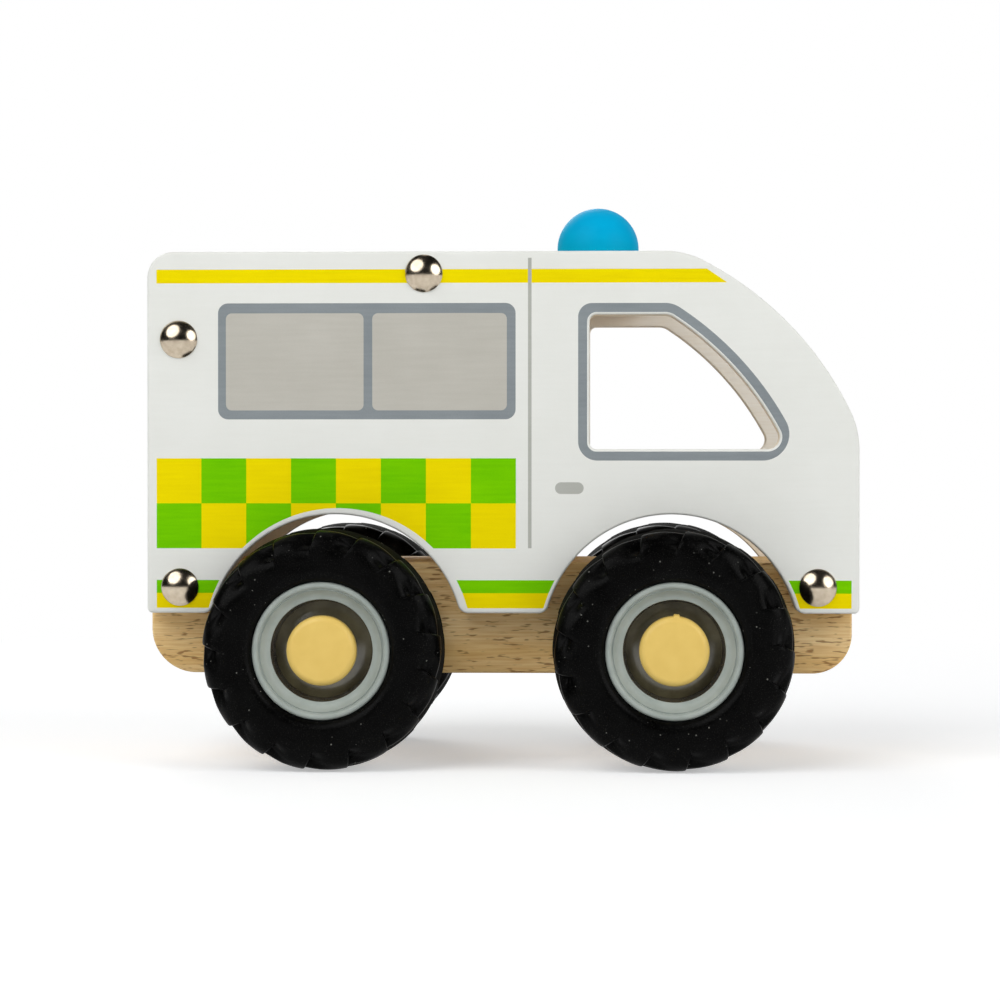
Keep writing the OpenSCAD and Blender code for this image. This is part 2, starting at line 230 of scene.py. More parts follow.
def make(name, skins, finishes, body, slot, *nodes):
    """One piece from its skins, welded, with every face turned outwards. It stands for the CAD nodes."""
    starts = np.cumsum([0, *(len(skin["points"]) for skin in skins)])
    faces = [face for skin, start in zip(skins, starts) for face in (skin["faces"] + start).tolist()]
    mesh = bpy.data.meshes.new(name)
    mesh.from_pydata(np.vstack([skin["points"] for skin in skins]) * MM, [], faces)
    finish_of_face = np.concatenate([skin["finish"] for skin in skins]).astype(np.int32)
    mesh.polygons.foreach_set("material_index", finish_of_face)
    smooth_face = np.concatenate([np.full(len(skin["faces"]), skin["smooth"]) for skin in skins])
    mesh.polygons.foreach_set("use_smooth", smooth_face)
    shell = bmesh.new()
    shell.from_mesh(mesh)
    bmesh.ops.remove_doubles(shell, verts=shell.verts, dist=WELD * MM)
    bmesh.ops.recalc_face_normals(shell, faces=shell.faces)
    shell.to_mesh(mesh)
    shell.free()
    mesh.set_sharp_from_angle(angle=np.radians(SHARP_ANGLE))
    for finish in finishes:
        mesh.materials.append(finish)
    piece = bpy.data.objects.new(name, mesh)
    bpy.context.scene.collection.objects.link(piece)
    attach(piece, body)
    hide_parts(*nodes)


# Finishes

# Between these values lies most of a noise
NOISE_RANGE = (0.3, 0.7)
# Veneers in a panel's thickness, with its two thin face veneers counted as one
PLIES = 4


def tint(red, green, blue):
    """A colour as a screen shows it, 0 to 255, as the shader's own linear values."""
    c = np.array([red, green, blue]) / 255
    return (*np.where(c <= 0.04045, c / 12.92, ((c + 0.055) / 1.055) ** 2.4), 1.0)


def new_finish(name, **values):
    """A material whose even values are set on the shader's own sockets."""
    finish = bpy.data.materials.new(name)
    finish.use_nodes = True
    shader = finish.node_tree.nodes["Principled BSDF"]
    for socket, value in values.items():
        shader.inputs[socket.replace("_", " ")].default_value = value
    return finish


def node(finish, kind, inputs, **settings):
    """A node with its settings, each input fed by a value or by another node's output."""
    made = finish.node_tree.nodes.new(kind)
    for name, value in settings.items():
        setattr(made, name, value)
    for name, value in inputs.items():
        if isinstance(value, bpy.types.NodeSocket):
            finish.node_tree.links.new(value, made.inputs[name])
        else:
            made.inputs[name].default_value = value
    return made


def place(finish, stretch=(1, 1, 1)):
    """Object coordinates, drawn out along each axis by its stretch."""
    where = node(finish, "ShaderNodeTexCoord", {}).outputs["Object"]
    scale = tuple(1 / s for s in stretch)
    return node(finish, "ShaderNodeMapping", {"Vector": where, "Scale": scale}).outputs["Vector"]


def noise(finish, size, stretch=(1, 1, 1), detail=3.0):
    """Cloudy noise from 0 to 1 with lumps of about one size, drawn out along each axis by its stretch."""
    inputs = {"Vector": place(finish, stretch), "Scale": 1 / (size * MM), "Detail": detail}
    return node(finish, "ShaderNodeTexNoise", inputs).outputs["Fac"]


def remap(finish, value, low, high, to_low=0.0, to_high=1.0):
    """The value's stretch from low to high, drawn onto another stretch and held at its ends."""
    inputs = {"Value": value, "From Min": low, "From Max": high, "To Min": to_low, "To Max": to_high}
    return node(finish, "ShaderNodeMapRange", inputs).outputs["Result"]


def mix(finish, share, first, second):
    """Two colours mixed by a share."""
    made = node(finish, "ShaderNodeMix", {0: share, 6: first, 7: second}, data_type="RGBA")
    return made.outputs[2]


def spread(finish, cloud, to_low=0.0, to_high=1.0):
    """A noise drawn from its middle range onto another stretch."""
    return remap(finish, cloud, *NOISE_RANGE, to_low, to_high)


def maths(finish, kind, *values):
    """One piece of arithmetic on one or two values."""
    return node(finish, "ShaderNodeMath", dict(enumerate(values)), operation=kind).outputs[0]


def plus(finish, first, second):
    """The sum of two values."""
    return maths(finish, "ADD", first, second)


def times(finish, first, second):
    """The product of two values."""
    return maths(finish, "MULTIPLY", first, second)


def wear(finish, colour, roughness, height, depth):
    """Leads a colour, a roughness and a bump height, depth millimetres deep, into the shader."""
    bump = node(finish, "ShaderNodeBump", {"Height": height, "Distance": depth * MM, "Strength": 1.0})
    shader = finish.node_tree.nodes["Principled BSDF"]
    for socket, value in (("Base Color", colour), ("Roughness", roughness), ("Normal", bump.outputs["Normal"])):
        finish.node_tree.links.new(value, shader.inputs[socket])
    return finish


def lacquer(name, light, dark, streak=0.5, shine=0.06, gloss=(0.36, 0.5)):
    """Paint or printing ink on sanded plywood: soft clouds, with the wood's fibres faintly showing along X."""
    finish = new_finish(name, Specular_IOR_Level=shine)
    clouds = noise(finish, 14)
    fibres = noise(finish, 0.7, stretch=(14, 1, 1))
    dots = noise(finish, 0.22, detail=1)
    share = plus(finish, times(finish, clouds, 1 - streak), times(finish, fibres, streak))
    share = plus(finish, share, times(finish, dots, 0.25))
    colour = mix(finish, remap(finish, share, 0.38, 0.86), light, dark)
    height = plus(finish, fibres, times(finish, dots, 0.5))
    return wear(finish, colour, spread(finish, clouds, *gloss), height, depth=0.012)


def beech_wood(name, axis):
    """Steamed beech: fine fibres along one axis, slow bands of colour and many short dark flecks."""
    finish = new_finish(name, Specular_IOR_Level=0.15)
    bands = noise(finish, 5, stretch=np.roll((16, 1.5, 1), axis), detail=2)
    fibres = noise(finish, 0.4, stretch=np.roll((20, 1, 1), axis), detail=4)
    flecks = remap(finish, noise(finish, 0.42, stretch=np.roll((6, 1, 1), axis), detail=1), 0.6, 0.7)
    pale = mix(finish, spread(finish, bands), tint(251, 223, 168), tint(237, 200, 133))
    fibrous = mix(finish, remap(finish, fibres, 0.35, 0.75, 0, 0.6), pale, tint(205, 147, 78))
    colour = mix(finish, times(finish, flecks, 0.7), fibrous, tint(132, 80, 38))
    height = plus(finish, fibres, times(finish, flecks, -0.6))
    return wear(finish, colour, spread(finish, fibres, 0.5, 0.66), height, depth=0.04)


def birch_face():
    """The panels' bare inner face: pale birch veneer with faint grain along X."""
    finish = new_finish("birch_face", Specular_IOR_Level=0.2)
    bands = noise(finish, 4, stretch=(9, 1, 1))
    fibres = noise(finish, 0.5, stretch=(22, 1, 1))
    pale = mix(finish, spread(finish, bands), tint(250, 248, 241), tint(246, 242, 232))
    colour = mix(finish, remap(finish, fibres, 0.4, 0.8, 0, 0.3), pale, tint(228, 216, 194))
    return wear(finish, colour, spread(finish, fibres, 0.52, 0.68), fibres, depth=0.03)


def plywood_edge():
    """The panels' sawn edge: five veneers across the thickness, in turn along and across the grain.
    The two face veneers are half as thick as the three between them."""
    finish = new_finish("plywood_edge", Specular_IOR_Level=0.3)
    across = node(finish, "ShaderNodeSeparateXYZ", {"Vector": place(finish)}).outputs["Y"]
    across = maths(finish, "ABSOLUTE", across)
    layer = remap(finish, across, PANEL_IN * MM, PANEL_OUT * MM, 0, PLIES)
    wander = spread(finish, noise(finish, 3), -0.12, 0.12)
    zigzag = maths(finish, "PINGPONG", plus(finish, layer, wander), 1.0)
    veneer = remap(finish, zigzag, 0.35, 0.65)
    fibres = noise(finish, 0.4, stretch=(3, 1, 3))
    plain = mix(finish, veneer, tint(242, 236, 222), tint(224, 211, 188))
    colour = mix(finish, remap(finish, fibres, 0.4, 0.75, 0, 0.45), plain, tint(194, 170, 135))
    return wear(finish, colour, spread(finish, fibres, 0.6, 0.8), plus(finish, fibres, veneer), depth=0.04)


def beacon_paint():
    """Water-based blue on a turned knob: faint rings from the lathe and soft brush clouds."""
    finish = new_finish("beacon_paint", Specular_IOR_Level=0.04)
    clouds = noise(finish, 3, stretch=(1.6, 1.6, 1))
    rings = noise(finish, 0.5, stretch=(30, 30, 1), detail=2)
    share = plus(finish, clouds, times(finish, rings, 0.35))
    colour = mix(finish, remap(finish, share, 0.45, 0.95), tint(0, 171, 222), tint(0, 177, 226))
    return wear(finish, colour, spread(finish, clouds, 0.42, 0.54), rings, depth=0.02)


def nickel_plate():
    """Polished nickel with hair-fine scratches and a little haze."""
    finish = new_finish("nickel_plate", Metallic=1.0)
    haze = noise(finish, 1.2)
    colour = mix(finish, spread(finish, haze), tint(205, 192, 172), tint(188, 173, 152))
    scratches = noise(finish, 0.25, stretch=(1, 1, 7), detail=2)
    return wear(finish, colour, spread(finish, haze, 0.15, 0.22), scratches, depth=0.004)


def axle_steel():
    """Drawn steel rod with lines along its length."""
    finish = new_finish("axle_steel", Metallic=1.0)
    lines = noise(finish, 0.2, stretch=(1, 40, 1))
    colour = mix(finish, spread(finish, lines), tint(168, 168, 166), tint(140, 140, 140))
    return wear(finish, colour, spread(finish, lines, 0.28, 0.42), lines, depth=0.006)


def tyre_rubber(name, gloss):
    """Black rubber with a mould grain, cloudy bloom, fine dust and specks of pale dust in loose clusters."""
    finish = new_finish(name, Specular_IOR_Level=0.05)
    clouds = noise(finish, 5, detail=4)
    grain = noise(finish, 0.35)
    cells = node(finish, "ShaderNodeTexVoronoi", {"Vector": place(finish), "Scale": 1 / (1.1 * MM)})
    chance = node(finish, "ShaderNodeSeparateColor", {"Color": cells.outputs["Color"]}).outputs
    rare = remap(finish, noise(finish, 6, detail=1), 0.42, 0.62, 0.93, 0.35)
    size = remap(finish, chance[1], 0, 1, 0.06, 0.15)
    in_speck = maths(finish, "LESS_THAN", cells.outputs["Distance"], size)
    speck = times(finish, in_speck, maths(finish, "GREATER_THAN", chance[0], rare))
    dust = remap(finish, noise(finish, 0.2, detail=2), 0.58, 0.75, 0, 0.06)
    black = mix(finish, remap(finish, clouds, 0.35, 0.7), tint(2, 2, 2), tint(7, 7, 7))
    dusty = mix(finish, dust, black, tint(150, 150, 143))
    brightness = times(finish, speck, remap(finish, chance[2], 0, 1, 0.05, 0.4))
    colour = mix(finish, brightness, dusty, tint(170, 170, 162))
    return wear(finish, colour, spread(finish, clouds, *gloss), plus(finish, grain, speck), depth=0.03)


def moulded_plastic(name, light, dark, cloud=4, shine=0.3, gloss=(0.36, 0.48)):
    """Moulded plastic with a fine grain and faint flow clouds of one size."""
    finish = new_finish(name, Specular_IOR_Level=shine)
    clouds = noise(finish, cloud)
    grain = noise(finish, 0.3)
    colour = mix(finish, spread(finish, clouds), light, dark)
    return wear(finish, colour, spread(finish, clouds, *gloss), grain, depth=0.008)


BEECH = beech_wood("beech", 0)
BEECH_UPRIGHT = beech_wood("beech_upright", 2)
BIRCH = birch_face()
PLY_EDGE = plywood_edge()
WHITE = lacquer("white_lacquer", tint(237, 238, 233), tint(231, 232, 226), streak=0.25, shine=0.18)
YELLOW = lacquer("yellow_ink", tint(248, 228, 0), tint(235, 213, 0), shine=0.03)
GREEN = lacquer("green_ink", tint(130, 213, 0), tint(102, 194, 0), shine=0.03)
FRAME_GREY = lacquer("frame_grey_ink", tint(148, 155, 158), tint(131, 138, 142), streak=0.4)
PANE_GREY = lacquer("pane_grey_ink", tint(198, 195, 186), tint(186, 183, 173), streak=0.4)
LINE_GREY = lacquer("line_grey_ink", tint(186, 187, 181), tint(172, 173, 165), streak=0.4)
PANEL_FINISHES = [WHITE, PLY_EDGE, BIRCH, YELLOW, GREEN, FRAME_GREY, PANE_GREY, LINE_GREY]
INK = {finish: i for i, finish in enumerate(PANEL_FINISHES)}


# Side panels

def wheel_arch(x):
    """Lower edge of a panel over one wheel, from rear to front: lip, arch, lip."""
    lip_z = PANEL_Z + ARCH_LIP_R
    reach = np.sqrt((ARCH_R + ARCH_LIP_R) ** 2 - (lip_z - ARCH_Z) ** 2)
    turn = np.degrees(np.arctan2(lip_z - ARCH_Z, reach))
    return np.vstack([
        arc([x - reach, lip_z], ARCH_LIP_R, 270, 360 - turn),
        arc([x, ARCH_Z], ARCH_R, 180 - turn, turn, 3 * ARC_STEPS),
        arc([x + reach, lip_z], ARCH_LIP_R, 180 + turn, 270),
    ])


def front_centres():
    """Centres of the roof bend, the windscreen line and the nose, each tangent to the next."""
    roof_c = np.array([
        FRONT_X - NOSE_R - (ROOF_BEND_R - SCREEN_R) * heading(SCREEN_TOP_A)[0]
        - (SCREEN_R - NOSE_R) * heading(SCREEN_FOOT_A)[0],
        PANEL_TOP - ROOF_BEND_R,
    ])
    screen_c = roof_c + (ROOF_BEND_R - SCREEN_R) * heading(SCREEN_TOP_A)
    return roof_c, screen_c, screen_c + (SCREEN_R - NOSE_R) * heading(SCREEN_FOOT_A)


def panel_outline():
    """The panel's outline: square rear, two wheel arches, nose, windscreen line and roof bend."""
    roof_c, screen_c, nose_c = front_centres()
    return path(
        arc([REAR_X + LOW_CORNER_R, PANEL_Z + LOW_CORNER_R], LOW_CORNER_R, 180, 270),
        *(wheel_arch(x) for x in ARCHES_X),
        arc([FRONT_X - LOW_CORNER_R, PANEL_Z + LOW_CORNER_R], LOW_CORNER_R, 270, 360),
        arc(nose_c, NOSE_R, 0, SCREEN_FOOT_A),
        arc(screen_c, SCREEN_R, SCREEN_FOOT_A, SCREEN_TOP_A),
        arc(roof_c, ROOF_BEND_R, SCREEN_TOP_A, 90),
        arc([REAR_X + REAR_CORNER_R, PANEL_TOP - REAR_CORNER_R], REAR_CORNER_R, 90, 180),
    )


def window_loop(grow, corners):
    """The cab window's outline, moved outwards all round, with its own corner radii."""
    _, screen_c, _ = front_centres()
    rear = FRONT_X - WINDOW_BACK - grow
    top = PANEL_TOP - WINDOW_DROP + grow
    foot = PANEL_TOP - WINDOW_DROP - WINDOW_H - grow
    front_r = WINDOW_R + grow
    front_c = screen_c + (SCREEN_R - WINDOW_PILLAR - WINDOW_R) * heading(SCREEN_FOOT_A)

    def fillet(radius, z):
        """Centre of a fillet at height z inside the curved front edge, and its angle about the curve."""
        run = np.sqrt((front_r - radius) ** 2 - (z - front_c[1]) ** 2)
        return front_c + [run, z - front_c[1]], np.degrees(np.arctan2(z - front_c[1], run))

    low_rear_r, foot_r = corners["low_rear"], corners["foot"]
    top_r, high_rear_r = corners["top"], corners["high_rear"]
    foot_c, foot_a = fillet(foot_r, foot + foot_r)
    top_c, top_a = fillet(top_r, top - top_r)
    return path(
        arc([rear + low_rear_r, foot + low_rear_r], low_rear_r, 180, 270),
        arc(foot_c, foot_r, -90, foot_a),
        arc(front_c, front_r, foot_a, top_a),
        arc(top_c, top_r, top_a, 90),
        arc([rear + high_rear_r, top - high_rear_r], high_rear_r, 90, 180),
    )


# Print on a side panel. Rectangles are (x from, x to, z from, z to).
PRINT_REAR = -65.5
PRINT_FRONT = 65.8
# The roof stripe's lower and upper edge, and where each ends at the front
ROOF_STRIPE = (91.3, 93.9)
ROOF_STRIPE_ENDS = (42.4, 38.6)
DOOR_LINE = (4.9, 5.56, 41.2, 96.0)
HANDLE = (10.0, 15.4, 51.45, 53.65)
CHECK_COLUMNS = 8
CHECK_ROWS = 2
CHECK_Z = 41.15
CHECK_SIZE = 8.515
# Heights that bound the two low stripes
STRIPE_LEVELS = (29.85, 32.7, 35.15)
SIDE_WINDOW = (-53.8, 2.55, 65.55, 87.5)
SIDE_WINDOW_R = 1.9
PANE_Z = (67.25, 85.6)
PANES_X = ((-52.3, -26.2), (-24.55, 0.9))
PANE_R = 1.1
# Grey border round the cab window: how far it reaches, and the radii of its corners
BORDER_REACH = 2.15
BORDER_CORNERS = {"low_rear": 3.6, "foot": 5, "top": 5, "high_rear": 2.6}
# White ring between the print and each wheel arch, as (centre x, radius)
ARCH_RINGS = ((-31.1, 25.35), (31.95, 24.95))
# Spacing of the points where a print edge follows a ring
FINE = 0.2


def ring_reach(arch, z):
    """How far a white ring reaches from its centre at a height."""
    return np.sqrt(ARCH_RINGS[arch][1] ** 2 - (z - ARCH_Z) ** 2)


def above_arches(x_from, x_to, z_from, z_to):
    """A rectangle of print whose lower edge is lifted onto the white rings round the wheel arches."""
    x = np.linspace(x_from, x_to, int((x_to - x_from) / FINE) + 2)
    low = np.full(len(x), z_from)
    for centre, radius in ARCH_RINGS:
        low = np.maximum(low, ARCH_Z + np.sqrt(np.clip(radius ** 2 - (x - centre) ** 2, 0, None)))
    return path(np.column_stack([x, low]), [[x_to, z_to], [x_from, z_to]])


def panel_print():
    """Ink shapes on a side panel, in printing order: stripes, checks, painted window, border, door."""
    low, high = ROOF_STRIPE
    low_end, high_end = ROOF_STRIPE_ENDS
    inks = [([[PRINT_REAR, low], [low_end, low], [high_end, high], [PRINT_REAR, high]], YELLOW)]
    for column in range(CHECK_COLUMNS):
        for row in range(CHECK_ROWS):
            x = PRINT_REAR + column * CHECK_SIZE
            z = CHECK_Z + row * CHECK_SIZE
            square = above_arches(x, x + CHECK_SIZE, z, z + CHECK_SIZE)
            inks.append((square, YELLOW if (column + row) % 2 else GREEN))
    rear, front = (x for x, _ in ARCH_RINGS)
    for z_from, z_to, colour in zip(STRIPE_LEVELS, STRIPE_LEVELS[1:], (YELLOW, GREEN)):
        behind, ahead = ring_reach(0, z_to), ring_reach(1, z_to)
        runs = ((PRINT_REAR, rear - behind), (rear + behind, front - ahead), (front + ahead, PRINT_FRONT))
        inks += [(above_arches(*run, z_from, z_to), colour) for run in runs]
    inks.append((rectangle(*SIDE_WINDOW, SIDE_WINDOW_R), FRAME_GREY))
    inks += [(rectangle(*pane, *PANE_Z, PANE_R), PANE_GREY) for pane in PANES_X]
    inks.append((window_loop(BORDER_REACH, BORDER_CORNERS), FRAME_GREY))
    inks.append((rectangle(*DOOR_LINE), LINE_GREY))
    inks.append((rectangle(*HANDLE, (HANDLE[3] - HANDLE[2]) / 2 - WELD), LINE_GREY))
    return [(np.asarray(loop, float), INK[colour]) for loop, colour in inks]


PANEL_OUTLINE = panel_outline()
WINDOW_OUTLINE = window_loop(0, WINDOW_CORNERS)
PANEL_PRINT = panel_print()
for side, way in SIDES.items():
    make(
        f"printed_side_{side}",
        plate(PANEL_OUTLINE, [WINDOW_OUTLINE], way * PANEL_OUT, way * PANEL_IN, PANEL_EDGE, PANEL_BACK_EDGE,
              (INK[WHITE], INK[PLY_EDGE], INK[BIRCH]), PANEL_PRINT),
        PANEL_FINISHES, "body", "printed_plywood", f"side_panel_{side}",
    )


# Chassis and boards

def axle_place(end):
    """Centre of an axle in the side view."""
    low, high = box(f"{end}_axle")
    return (low[0] + high[0]) / 2, (low[2] + high[2]) / 2


AXLES = {end: axle_place(end) for end in ("front", "rear")}


def wooden_block(name, outline, node_name, holes=(), finish=BEECH):
    """A beech block as wide as its CAD node, with all its edges eased."""
    low, high = box(node_name)
    skins = plate(outline, holes, low[1], high[1], WOOD_EDGE, WOOD_EDGE)
    make(name, skins, [finish], "body", "beech", node_name)


wooden_block("chassis_block", path(
    arc([CHASSIS_LOW[0] + CHASSIS_REAR_R, CHASSIS_LOW[2] + CHASSIS_REAR_R], CHASSIS_REAR_R, 180, 270),
    arc([CHASSIS_HIGH[0] - CHASSIS_FRONT_R, CHASSIS_LOW[2] + CHASSIS_FRONT_R], CHASSIS_FRONT_R, 270, 360),
    [[CHASSIS_HIGH[0], CHASSIS_HIGH[2]], [CHASSIS_LOW[0], CHASSIS_HIGH[2]]],
), "chassis", [arc(centre, BORE_R, 0, 360)[:-1] for centre in AXLES.values()])
wooden_block("roof_plank", path(
    [[ROOF_LOW[0], ROOF_LOW[2]], [ROOF_HIGH[0], ROOF_LOW[2]], [ROOF_HIGH[0], ROOF_HIGH[2]]],
    arc([ROOF_LOW[0] + ROOF_EDGE_R, ROOF_HIGH[2] - ROOF_EDGE_R], ROOF_EDGE_R, 90, 180),
), "roof_board")
wooden_block("back_plank", rectangle(BACK_LOW[0], BACK_HIGH[0], BACK_LOW[2], BACK_HIGH[2]), "back_board",
             finish=BEECH_UPRIGHT)


# Beacon and nails

BEACON_FOOT_R = 0.5
# Nails: domed head, the thin rim round it, shank and point
NAIL_HEAD_R = 3.55
NAIL_HEAD_H = 1.7
NAIL_RIM = 0.15
NAIL_D = 2.2
NAIL_L = 19
NAIL_POINT_L = 2.5
# Each nail's distance from the panel's rear edge and height above the ground
NAIL_HOLES = ((6.2, 33.8), (126.8, 33.8), (6, 80.7), (52.5, 93.1))
NAIL_TURNS = 64


def beacon():
    """A domed knob: straight skirt with an eased foot, then half a sphere, spun about its own axis."""
    low, high = BEACON_LOW, BEACON_HIGH
    radius = (high[0] - low[0]) / 2
    section = np.vstack([
        [[0, PANEL_TOP]],
        arc([radius - BEACON_FOOT_R, PANEL_TOP + BEACON_FOOT_R], BEACON_FOOT_R, 270, 360, ROUND_STEPS),
        arc([0, high[2] - radius], radius, 0, 90, 2 * ARC_STEPS),
    ])
    points = spin(section) + [(low[0] + high[0]) / 2, 0, 0]
    make("beacon_knob", [sheet(points, wrap_u=True)], [beacon_paint()], "body", "blue_paint", "beacon")


def nail_section():
    """Half the outline of a nail: point, shank, flat under the head, thin rim and dome."""
    dome_h = NAIL_HEAD_H - NAIL_RIM
    dome_r = (NAIL_HEAD_R ** 2 + dome_h ** 2) / (2 * dome_h)
    rim_a = np.degrees(np.arccos(NAIL_HEAD_R / dome_r)) * np.sign(dome_r - dome_h)
    return np.vstack([
        [[0, -NAIL_L], [NAIL_D / 2, NAIL_POINT_L - NAIL_L], [NAIL_D / 2, 0], [NAIL_HEAD_R, 0]],
        arc([0, NAIL_HEAD_H - dome_r], dome_r, rim_a, 90, 2 * ARC_STEPS),
    ])


beacon()
NICKEL = nickel_plate()
for side, way in SIDES.items():
    head = spin(nail_section(), NAIL_TURNS) + [0, 0, PANEL_OUT]
    nails = [sheet(out_of_side(head, REAR_X + along, up, way), wrap_u=True) for along, up in NAIL_HOLES]
    make(f"dome_nails_{side}", nails, [NICKEL], "body", "nickel", f"panel_nails_{side}")


# Wheels

LUG_COUNT = 17
LUG_DEPTH = 1.8
# Steps round the tyre for each step from its middle line out to the crown's edge, and on down the shoulder
LUG_SLANTS = (0.45, 0.3)
# Share of the lug depth that is cut on the tyre's middle line and on the crown's edge
LUG_SHARES = (0.1, 0.28)
# Distances from the middle line between which the cut deepens from the crown's edge to the shoulder
LUG_SHOULDER = (6, 7.6)
# Angle of the steep end of one lug on each axle's tyres
LUG_START = {"front": -43, "rear": -78}
# Radii between which the lugs run out into the sidewall
LUG_FADE = (17.8, 20.8)
# Along one pitch, going clockwise: how far the surface lies below the lug's top, as a share of its depth,
# and where the surface has its points
LUG_SHAPE = ((0, 0.10), (0.03, 0), (0.2, 0.02), (0.5, 0.22), (0.9, 0.95), (0.95, 1), (0.972, 0.93), (1, 0.10))
LUG_STEPS = (0, 0.03, 0.1, 0.18, 0.26, 0.32, 0.38, 0.44, 0.52,
             0.6, 0.68, 0.76, 0.84, 0.9, 0.935, 0.955, 0.972, 0.99)
# Tyre section: shoulder, crown and bead, and the seat between the rim's flanges
SHOULDER_R = 3.6
CROWN_R = 60
BEAD_R = 2
SEAT_DEPTH = 1.4
FLANGE_W = 1.8
RIM_INSET = 1
# Mould line on the tyre: its height and width, how far it can be felt, and the finer points across it
MOULD_LINE = (0.1, 0.16)
MOULD_REACH = 0.5
MOULD_POINTS = (0.35, 0.2, 0.1, 0)
# Points across one half of the crown and up a sidewall
CROWN_POINTS = 14
SIDEWALL_POINTS = 6


def smooth_step(value, low, high):
    """0 below low, 1 above high and a smooth rise between."""
    t = np.clip((value - low) / (high - low), 0, 1)
    return t * t * (3 - 2 * t)


def tyre_section(half, outer, inner):
    """Closed outline of a tyre as (radius, distance from its middle): bead, sidewall, shoulder and crown."""
    across = np.concatenate([np.linspace(half - SHOULDER_R, MOULD_REACH, CROWN_POINTS), MOULD_POINTS])
    crown = outer - CROWN_R + np.sqrt(CROWN_R ** 2 - across ** 2)
    wall_r = np.linspace(inner + BEAD_R, crown[0] - SHOULDER_R, SIDEWALL_POINTS)[1:-1]
    one_side = np.vstack([
        [[inner - SEAT_DEPTH, half - RIM_INSET - FLANGE_W], [inner, half - RIM_INSET - FLANGE_W]],
        arc([inner + BEAD_R, half - BEAD_R], BEAD_R, 180, 90, CORNER_STEPS),
        np.column_stack([wall_r, np.full(len(wall_r), half)]),
        arc([crown[0] - SHOULDER_R, half - SHOULDER_R], SHOULDER_R, 90, 0),
        np.column_stack([crown, across]),
    ])
    return path(one_side, one_side[-2::-1] * [1, -1])


def tyre(end, side):
    """A lugged tyre. Its section is swept round the axle. The surface sinks along the section's normal by
    the lug depth times the lug shape at each place along the pitch: little on the crown, most on the
    shoulders. The pitch slants on from the middle line to both sides. A mould line stands up along the middle,
    and the running band between the shoulders is matt."""
    half = (TYRE_HIGH[1] - TYRE_LOW[1]) / 2
    outer = AXLES[end][1]
    inner = (RIM_HIGH[0] - RIM_LOW[0]) / 2
    section = tyre_section(half, outer, inner)
    radius, across = section.T
    normal = -inward(section[::-1])[::-1]
    normal /= np.linalg.norm(normal, axis=1, keepdims=True)
    edge = half - SHOULDER_R
    share = LUG_SHARES[0] + (LUG_SHARES[1] - LUG_SHARES[0]) * smooth_step(np.abs(across), MOULD_REACH, edge)
    share += (1 - share) * smooth_step(np.abs(across), *LUG_SHOULDER)
    depth = LUG_DEPTH * smooth_step(radius, *LUG_FADE) * share
    pitch = 2 * np.pi / LUG_COUNT
    steps = np.array(LUG_STEPS)
    along = (np.arange(LUG_COUNT)[:, None] + steps).ravel()
    fall = np.tile(np.interp(steps, *zip(*LUG_SHAPE)), LUG_COUNT)
    height, width = MOULD_LINE
    rise = height * np.exp(-(across / width) ** 2) * (radius > inner + BEAD_R)
    sunk = section + (rise - np.outer(fall, depth))[..., None] * normal
    run = np.cumsum(np.linalg.norm(section - np.roll(section, 1, axis=0), axis=1))
    run = np.abs(run - run[np.argmax(radius)])
    slant = np.where(run < edge, LUG_SLANTS[0], LUG_SLANTS[1]) * (run - edge) / outer
    angle = np.radians(LUG_START[end]) - pitch * along[:, None] + slant
    points = np.stack([sunk[..., 0] * np.cos(angle), sunk[..., 0] * np.sin(angle), sunk[..., 1]], -1)
    middle = (TYRE_LOW[1] + TYRE_HIGH[1]) / 2
    laid = out_of_side(points + [0, 0, middle], *AXLES[end], SIDES[side])
    between = (section + np.roll(section, -1, axis=0)) / 2
    tread = (between[:, 0] > LUG_FADE[1]) & (np.abs(between[:, 1]) < edge)
    skin = sheet(laid, wrap_u=True, wrap_v=True, finish=tread.astype(int))
    make(f"lugged_tyre_{end}_{side}", [skin], [RUBBER, TREAD_RUBBER],
         f"wheel_{end}_{side}", "tyre_rubber", f"tyre_{end}_{side}")


RIM_TURNS = 160
LIP_R = 0.6
DISH_R = 9.5
# The band that slopes in from the lip: its fall, its hollow and the points across it
BAND_DEPTH = 1.4
BAND_SAG = 0.35
BAND_POINTS = 13
GROOVE_W = 0.3
GROOVE_DEPTH = 0.12
RIM_EASE = 0.2
# The hub: its play under the cap, and how far it stands out of the web
HUB_R = 4.6
HUB_PLAY = 0.35
HUB_RISE = 0.7
HUB_OUT = CAP_LOW[1] - HUB_PLAY
WEB_OUT = HUB_OUT - HUB_RISE
WEB_T = 2.2
# How far the sunk centre's floor falls below the web's face at its outer edge
WEB_FALL = 0.5
# How much narrower the sunk centre is at its floor than at its mouth
DISH_DRAFT = 0.5


